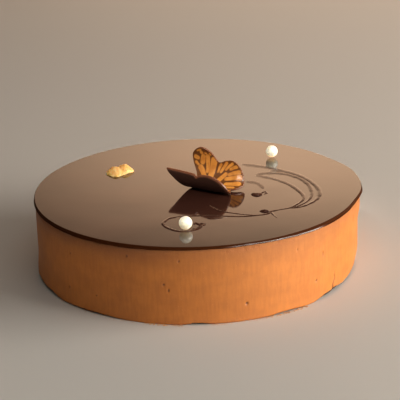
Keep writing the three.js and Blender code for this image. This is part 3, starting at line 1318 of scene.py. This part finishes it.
@dataclass
class GoldLeaf:
    """A crumpled flake of gold leaf with raised lobes and a fold between them.

    Attributes:
        sunk: how far its underside lies under the lowest corner of the CAD node.
        crease_cells: size along and across of the creases' cells, with fine_cells for finer ones.
        waves: the outline's mean radius, and the sizes of its waves of two and three a turn.
        torn: angle, half width and missing share of the torn corner.
    """

    node: str = "gold_leaf"
    turn: float = 15.0
    length: float = 18.6
    width: float = 20.5
    edge_thickness: float = 0.6
    sunk: float = 0.35
    domes: tuple[Dome, ...] = (
        Dome((-3.0, 1.8), (6.0, 8.0), 3.4),
        Dome((3.8, 3.4), (4.8, 7.5), 4.4),
        Dome((7.2, 1.0), (3.2, 5.5), 2.8),
    )
    crease_depth: float = 0.5
    crease_cells: tuple[float, float] = (2.8, 3.6)
    fine_cells: tuple[float, float] = (1.2, 1.5)
    fine_share: float = 0.3
    waves: Triple = (0.88, 0.08, 0.05)
    raggedness: float = 0.05
    torn: Triple = (-62.0, 62.0, 0.36)
    columns: int = 168
    rows: int = 44
    finish: GoldFinish = GoldFinish()

    def build(self) -> None:
        """A waved outline filled by shrinking rings, as high as the highest dome at each place.

        The outline's radius is a sum of cosines of two and three times the angle, cut back where
        a corner is torn off. A crease is the size of a bump, so that it is sharp where the bump
        crosses zero, and it is cut from the domes.
        """
        low, high = node_box(self.node)
        centre = (low + high) / 2
        angle = round_turn(self.columns)
        around = np.radians(angle)
        mean, twos, threes = self.waves
        outline = mean + twos * np.cos(2 * around) + threes * np.sin(3 * around + 0.7)
        torn_at, half_width, missing = self.torn
        outline = outline * (1.0 - missing * lobe(angle, torn_at, half_width))
        outline = outline * (1.0 + self.raggedness * Grain(71, 28).round_cake(angle, 0.0))
        share = np.linspace(0.04, 1.0, self.rows)[:, None]
        reach = np.vstack([share, share[::-1]])
        x = self.length / 2 * outline * np.cos(around) * reach
        y = self.width / 2 * outline * np.sin(around) * reach
        domes = [dome.rise(x, y) for dome in self.domes]
        along, across = self.crease_cells
        crease = np.abs(Grain(72, 32, 32).at(x / along + 9.0, y / across + 9.0))
        along, across = self.fine_cells
        fine = np.abs(Grain(73, 64, 64).at(x / along + 30.0, y / across + 30.0))
        creases = (1.0 - self.fine_share) * crease + self.fine_share * fine
        crumple = np.max(domes, axis=0) - self.crease_depth * creases
        top = self.edge_thickness + np.maximum(crumple, 0.0) * (1.0 - reach**6)
        upper = np.arange(len(reach))[:, None] >= self.rows
        turn = math.radians(self.turn)
        places = np.stack(
            [
                centre[0] + x * math.cos(turn) - y * math.sin(turn),
                centre[1] + x * math.sin(turn) + y * math.cos(turn),
                low[2] - self.sunk + np.where(upper, top, 0.0),
            ],
            axis=-1,
        )
        skin = Skin()
        skin.add_closed(places)
        dress(skin.piece("gold_leaf_flake"), self.finish.material(), Slot.GOLD_LEAF, self.node)


@dataclass(frozen=True)
class Stroke:
    """One piped line on the glaze.

    Attributes:
        path: the places that it runs through.
        widths: its width at its first and last place.
        heights: how far it stands up there.
    """

    path: Outline
    widths: tuple[float, float]
    heights: tuple[float, float]


@dataclass
class PipedLines:
    """Thin lines of chocolate piped onto the glaze.

    Attributes:
        swoosh: three long lines, a faint broad one and the two in front that they lead to.
        ring: the ring round the front pearl and its loose ends.
        small: an arc, a blob and its loop, a drop, a tick and smears.
        sunk: how deep a line reaches into the glaze.
        clearance: how far its edges lie above the pool.
        soft_edge: share of the half width over which the cover grows from the edges.
        cover_fade: widths over which it grows from the ends.
    """

    swoosh: tuple[Stroke, ...] = (
        Stroke(
            (
                (29.7, 42.0), (46.9, 33.0), (58.1, 23.4), (65.8, 14.3), (71.6, 2.1), (74.7, -9.6),
                (74.6, -20.6), (71.7, -30.1), (65.9, -38.0), (60.5, -42.2), (54.8, -43.0),
                (48.1, -45.5), (42.3, -48.0),
            ),
            (6.0, 1.5), (0.012, 0.34),
        ),
        Stroke(
            (
                (38.5, 18.4), (43.3, 21.9), (54.0, 20.7), (62.7, 13.4), (68.3, 2.4), (70.4, -10.3),
                (69.6, -22.3), (65.6, -33.1), (58.5, -42.0),
            ),
            (6.0, 1.4), (0.012, 0.32),
        ),
        Stroke(
            (
                (37.8, 18.4), (44.4, 14.2), (51.6, 7.6), (57.8, -1.1), (62.2, -11.6), (64.7, -22.9),
                (62.9, -31.3), (57.1, -40.2), (53.0, -44.0),
            ),
            (5.5, 1.4), (0.012, 0.32),
        ),
        Stroke(((47.0, 27.0), (52.5, 25.0), (57.5, 20.5), (61.0, 16.0)), (9.0, 5.0), (0.012, 0.012)),
        Stroke(
            (
                (6.9, -33.1), (9.7, -38.0), (13.1, -43.1), (18.0, -46.7), (22.3, -48.7),
                (26.5, -50.6), (32.8, -52.6),
            ),
            (2.0, 1.7), (0.24, 0.24),
        ),
        Stroke(
            (
                (12.2, -52.2), (17.8, -53.1), (23.5, -54.1), (29.1, -54.3), (33.4, -53.5),
                (40.6, -51.9), (43.7, -48.2),
            ),
            (1.9, 2.2), (0.26, 0.4),
        ),
    )
    ring: tuple[Stroke, ...] = (
        Stroke(
            (
                (-12.0, -51.6), (-16.2, -53.4), (-18.6, -57.2), (-19.8, -61.1), (-18.6, -66.1),
                (-15.4, -70.9), (-10.5, -74.8), (-6.0, -75.3), (-1.3, -73.4), (0.9, -70.6),
                (2.0, -67.5), (3.6, -65.2), (1.9, -62.6),
            ),
            (2.4, 2.8), (0.34, 0.44),
        ),
        Stroke(((-2.5, -64.7), (-0.7, -62.9), (0.7, -65.0), (2.8, -64.8)), (1.9, 1.9), (0.6, 0.5)),
        Stroke(((2.8, -66.8), (2.0, -69.0), (-0.5, -72.7), (-2.9, -71.5)), (1.8, 2.0), (0.5, 0.5)),
        Stroke(
            ((-14.1, -51.2), (-9.1, -50.5), (-3.4, -50.7), (2.3, -50.8), (8.0, -50.2), (12.2, -51.2)),
            (1.8, 2.4), (0.1, 0.14),
        ),
    )
    small: tuple[Stroke, ...] = (
        Stroke(
            ((30.4, 7.5), (34.1, 6.4), (37.8, 3.3), (40.1, -1.5), (41.3, -7.3)),
            (5.5, 3.0), (0.015, 0.03),
        ),
        Stroke(((33.4, -16.4), (36.6, -18.4), (40.2, -17.4)), (4.2, 5.2), (1.5, 1.7)),
        Stroke(
            ((38.5, -17.2), (40.3, -14.2), (42.3, -12.9), (43.0, -15.4), (41.1, -17.2)),
            (1.8, 1.4), (0.4, 0.3),
        ),
        Stroke(((36.9, -46.7), (42.4, -47.4)), (3.8, 3.8), (1.2, 1.2)),
        Stroke(((43.4, -48.4), (44.6, -53.0), (46.4, -58.6)), (1.8, 0.8), (0.2, 0.06)),
        Stroke(((43.6, -47.2), (47.0, -46.6)), (2.4, 2.0), (0.3, 0.2)),
        Stroke(((55.4, -41.8), (59.2, -40.2)), (2.8, 2.4), (0.34, 0.3)),
        Stroke(((6.0, -55.6), (10.5, -56.2), (15.5, -55.0)), (2.6, 2.2), (0.4, 0.3)),
    )
    section_points: int = 20
    spacing: float = 0.5
    fewest_rows: int = 14
    unevenness: float = 0.16
    swell_length: float = 3.5
    sunk: float = 0.25
    clearance: float = 0.004
    soft_edge: float = 0.8
    cover_fade: float = 0.45
    finish: PipingFinish = PipingFinish()

    def add_stroke(self, skin: Skin, stroke: Stroke, seed: int) -> None:
        """Carries a soft ridge along one stroke and thins it at both ends.

        The ridge's height falls from its middle to its edges as a squared cosine, so that it
        meets the glaze level. Its lower side is half an ellipse under the glaze. The painted
        cover falls off towards its edges and ends, where it looks like the glaze.

        Args:
            skin: where the stroke is added.
            stroke: the line.
            seed: fixes its unevenness.
        """
        rough = np.array(stroke.path, float)
        length = np.linalg.norm(np.diff(rough, axis=0), axis=1).sum()
        count = max(self.fewest_rows, int(length / self.spacing))
        path = smooth_path(rough, count)
        along = np.gradient(path, axis=0)
        along /= np.linalg.norm(along, axis=1, keepdims=True)
        left = np.stack([-along[:, 1], along[:, 0]], axis=-1)
        walked = np.linspace(0.0, length, count)
        swell = 1.0 + self.unevenness * Grain(seed, 64, 4).at(walked / self.swell_length, 0.0)
        width = np.linspace(*stroke.widths, count)
        from_end = np.minimum(walked, length - walked) + 0.05
        taper = np.sqrt(np.clip(1.0 - (1.0 - np.minimum(from_end / width, 1.0)) ** 2, 0.0, 1.0))
        half = (width / 2 * swell * taper)[:, None]
        turn = np.linspace(0.0, 2 * math.pi, self.section_points, endpoint=False)[None, :]
        proud = (np.linspace(*stroke.heights, count) * swell * taper)[:, None]
        ridge = proud * np.cos(math.pi / 2 * np.cos(turn)) ** 2
        height = np.where(np.sin(turn) > 0.0, ridge, self.sunk * np.sin(turn))
        inward = smooth_step(1.0 - np.abs(np.cos(turn)), 0.0, self.soft_edge)
        cover = inward * smooth_step(from_end / width, 0.0, self.cover_fade)[:, None]
        x = path[:, :1] + left[:, :1] * half * np.cos(turn)
        y = path[:, 1:] + left[:, 1:] * half * np.cos(turn)
        skin.add_closed(np.stack([x, y, glaze_top() + self.clearance + height], axis=-1), cover=cover)

    def build(self) -> None:
        """One piece for each group of strokes."""
        material = self.finish.material()
        groups = {"piped_swoosh": self.swoosh, "piped_ring": self.ring, "piped_dashes": self.small}
        seed = 80
        for name, strokes in groups.items():
            skin = Skin()
            for stroke in strokes:
                seed += 1
                self.add_stroke(skin, stroke, seed)
            dress(skin.piece(name), material, Slot.GLAZE)


@dataclass(frozen=True)
class CrumbPatch:
    """A stretch of the foot where crumbs of mousse lie, with their number and largest size."""

    start: float
    end: float
    count: int
    largest: float


@dataclass
class FootCrumbs:
    """Small crumbs of mousse broken off along the foot.

    Attributes:
        spread: how far outside the mousse's radius they lie, from least to most.
        unevenness: range of a crumb's radius, as a share of half its size.
        sunk_to: height of a crumb's middle, as a share of its size.
    """

    patches: tuple[CrumbPatch, ...] = (
        CrumbPatch(-109.0, -96.0, 60, 0.9),
        CrumbPatch(-87.0, -68.0, 42, 0.6),
        CrumbPatch(-68.0, -52.0, 70, 0.9),
        CrumbPatch(-148.0, -112.0, 40, 0.5),
        CrumbPatch(10.0, 60.0, 60, 0.8),
        CrumbPatch(110.0, 170.0, 60, 0.8),
    )
    smallest: float = 0.3
    spread: tuple[float, float] = (-0.3, 1.5)
    unevenness: tuple[float, float] = (0.7, 1.25)
    flatness: float = 0.8
    sunk_to: float = 0.36
    rows: int = 5
    columns: int = 8
    finish: MousseFinish = MousseFinish(light=(0.80, 0.42, 0.14), dark=(0.70, 0.34, 0.10))

    def build(self) -> None:
        """Lumps of a few points, each a flattened ball of uneven radius, laid along the foot."""
        draw = np.random.default_rng(91)
        radius = node_box("mousse_body")[1][0]
        lift = np.radians(np.linspace(-65.0, 65.0, self.rows))[:, None]
        azimuth = round_turn(self.columns)
        skin = Skin()
        for patch in self.patches:
            for place in draw.uniform(patch.start, patch.end, patch.count):
                size = self.smallest + (patch.largest - self.smallest) * draw.random() ** 2
                uneven = size / 2 * draw.uniform(*self.unevenness, (self.rows, self.columns))
                lump = turned(azimuth, uneven * np.cos(lift), uneven * np.sin(lift) * self.flatness)
                out = radius + draw.uniform(*self.spread)
                centre = turned(np.array(place), np.array(out), np.array(size * self.sunk_to))
                skin.add_closed(lump + centre, crumb=0.3, hollow=0.0, soak=0.0)
        dress(skin.piece("mousse_crumbs"), self.finish.material(), Slot.MOUSSE)


# ------------------------------------------------------------------ camera and light


@dataclass(frozen=True)
class Viewpoint:
    """The camera: where it stands round the cake and how it is turned."""

    distance: float = 898.0
    elevation: float = 22.26
    pan: float = 0.15
    tilt: float = 19.91
    roll: float = -1.92
    focal_length: float = 127.9
    sensor_width: float = 36.0

    def build(self) -> None:
        """Stands the camera in front of the cake, looking down by its tilt, turned by its roll."""
        pan, tilt, roll = (math.radians(angle) for angle in (self.pan, self.tilt, self.roll))
        rise = math.radians(self.elevation)
        place = np.array([0.0, -math.cos(rise), math.sin(rise)]) * self.distance * MM
        ahead = np.array([math.sin(pan), math.cos(pan), 0.0]) * math.cos(tilt)
        forward = ahead - np.array([0.0, 0.0, math.sin(tilt)])
        level = np.cross(forward, (0.0, 0.0, 1.0))
        level /= np.linalg.norm(level)
        upright = np.cross(level, forward)
        right = math.cos(roll) * level + math.sin(roll) * upright
        up = math.cos(roll) * upright - math.sin(roll) * level
        lens = bpy.data.cameras.new("camera")
        lens.lens = self.focal_length
        lens.sensor_width = self.sensor_width
        lens.clip_start, lens.clip_end = 0.02, 40.0
        camera = bpy.data.objects.new("camera", lens)
        camera.matrix_world = standing(right, up, -forward, place)
        bpy.context.scene.collection.objects.link(camera)
        bpy.context.scene.camera = camera


@dataclass(frozen=True)
class Lamp:
    """A lamp aimed at the middle of the glaze, by where it stands round the cake.

    With only_gloss it shows in glossy surfaces and lights no others.
    """

    name: str
    azimuth: float
    elevation: float
    watts: float
    distance: float = 1700.0
    colour: Colour = (1.0, 0.93, 0.84)
    only_gloss: bool = False

    def light(self) -> bpy.types.Light:
        """The light's own data."""
        raise NotImplementedError

    def build(self) -> None:
        """Stands the lamp so that its back points away from the cake along its azimuth and rise."""
        light = self.light()
        light.energy = self.watts
        light.color = self.colour
        lamp = bpy.data.objects.new(self.name, light)
        lamp.visible_diffuse = not self.only_gloss
        azimuth, rise = math.radians(self.azimuth), math.radians(self.elevation)
        outward = np.array([math.cos(azimuth), math.sin(azimuth), 0.0]) * math.cos(rise)
        back = outward + np.array([0.0, 0.0, math.sin(rise)])
        side = np.cross((0.0, 0.0, 1.0), back)
        side /= np.linalg.norm(side)
        aim = np.array([0.0, 0.0, glaze_top()])
        place = (aim + back * self.distance) * MM
        lamp.matrix_world = standing(side, np.cross(back, side), back, place)
        bpy.context.scene.collection.objects.link(lamp)


@dataclass(frozen=True)
class Panel(Lamp):
    """A soft glowing rectangle, by its size."""

    width: float = 1000.0
    height: float = 1000.0

    def light(self) -> bpy.types.Light:
        """An area light of the panel's size."""
        light = bpy.data.lights.new(self.name, "AREA")
        light.shape = "RECTANGLE"
        light.size = self.width * MM
        light.size_y = self.height * MM
        return light


@dataclass(frozen=True)
class Spot(Lamp):
    """A lamp behind a snoot that lights only the top, by its cone, soft edge and bulb radius."""

    cone: float = 5.0
    softness: float = 0.4
    radius: float = 35.0

    def light(self) -> bpy.types.Light:
        """A spot light whose cone fades at its edge."""
        light = bpy.data.lights.new(self.name, "SPOT")
        light.spot_size = math.radians(self.cone)
        light.spot_blend = self.softness
        light.shadow_soft_size = self.radius * MM
        return light


@dataclass(frozen=True)
class Studio:
    """Pale floor, lamps from the right and from above, and a glowing card that the glaze mirrors.

    Attributes:
        card_sides: X in metres between which the glow grows from its left share to full.
        card_left: the glow's share at the left.
        card_fade: height in metres between which the glow grows from its top share to full.
        card_top: the glow's share at the top.
        card_slant: how much higher the fade lies for each metre to the right.
    """

    floor_half: float = 6000.0
    lamps: tuple[Lamp, ...] = (
        Panel("key", -12.5, 15.0, 51.0, width=1500.0, height=850.0),
        Panel("strip", -49.0, 22.0, 32.0, only_gloss=True, width=1050.0, height=280.0),
        Panel("top_light", -75.0, 60.0, 7.0, width=1600.0, height=1200.0),
        Spot("top_spot", -118.0, 50.0, 90.0, cone=5.2),
    )
    card_distance: float = 1300.0
    card_half_width: float = 1100.0
    card_low: float = 20.0
    card_high: float = 1100.0
    card_colour: Colour = (1.0, 0.64, 0.395)
    card_strength: float = 2.13
    card_sides: tuple[float, float] = (-0.58, 0.17)
    card_left: float = 0.03
    card_fade: tuple[float, float] = (0.68, 0.45)
    card_top: float = 0.13
    card_slant: float = 0.07
    surround: Colour = (0.05, 0.043, 0.036)

    def panel(self, name: str, half_width: float, *edges: tuple[float, float]) -> bpy.types.Object:
        """Makes a flat panel, which isn't part of the cake.

        Args:
            name: its name.
            half_width: how far it reaches to either side along X.
            edges: Y and Z of its first and its second edge.

        Returns:
            The panel, without a finish.
        """
        corners = np.array([[(side * half_width, *edge) for side in (-1.0, 1.0)] for edge in edges])
        skin = Skin()
        skin.weave(skin.add_points(corners), closed=False)
        made = skin.piece(name)
        return made

    def floor(self) -> None:
        """The floor that the cake stands on."""
        reach = self.floor_half
        floor = self.panel("floor", reach, (-reach, 0.0), (reach, 0.0))
        floor.data.materials.append(FloorFinish().material())

    def card(self) -> None:
        """A card behind the cake that glows more to the right and fades upwards, by smooth steps."""
        low, high = ((self.card_distance, height) for height in (self.card_low, self.card_high))
        card = self.panel("glow_card", self.card_half_width, low, high)
        shader = Shader("glow_card")
        across = shader.add("ShaderNodeSeparateXYZ", None, {"Vector": shader.place}, output="X")
        up = across.output("Z") - across * self.card_slant
        sideways = self.card_left + across.step(*self.card_sides) * (1.0 - self.card_left)
        fade = self.card_top + up.step(*self.card_fade) * (1.0 - self.card_top)
        card.data.materials.append(
            shader.finish(
                Base_Color=BLACK,
                Roughness=1.0,
                Emission_Color=shader.mix(sideways * fade, BLACK, self.card_colour),
                Emission_Strength=self.card_strength,
            )
        )
        card.visible_camera = False

    def build(self) -> None:
        """Floor, card, lamps and a dim even surround."""
        self.floor()
        self.card()
        for lamp in self.lamps:
            lamp.build()
        world = bpy.data.worlds.new("surround")
        world.use_nodes = True
        world.node_tree.nodes["Background"].inputs["Color"].default_value = (*self.surround, 1.0)
        bpy.context.scene.world = world
        bpy.context.scene.view_settings.view_transform = "Standard"


# ------------------------------------------------------------------ the whole scene


def main() -> None:
    """Builds the camera and light, then the cake from its base up, then what lies on it."""
    logging.basicConfig(level=logging.INFO, format="%(name)s: %(message)s")
    sub_assemblies = (
        Viewpoint(),
        Studio(),
        BaseBiscuit(),
        MousseBody(),
        MirrorGlaze(),
        SugarPearls(),
        Butterfly(),
        GoldLeaf(),
        PipedLines(),
        FootCrumbs(),
    )
    for sub_assembly in sub_assemblies:
        LOG.info("building %s", type(sub_assembly).__name__)
        sub_assembly.build()


if __name__ == "__main__":
    main()
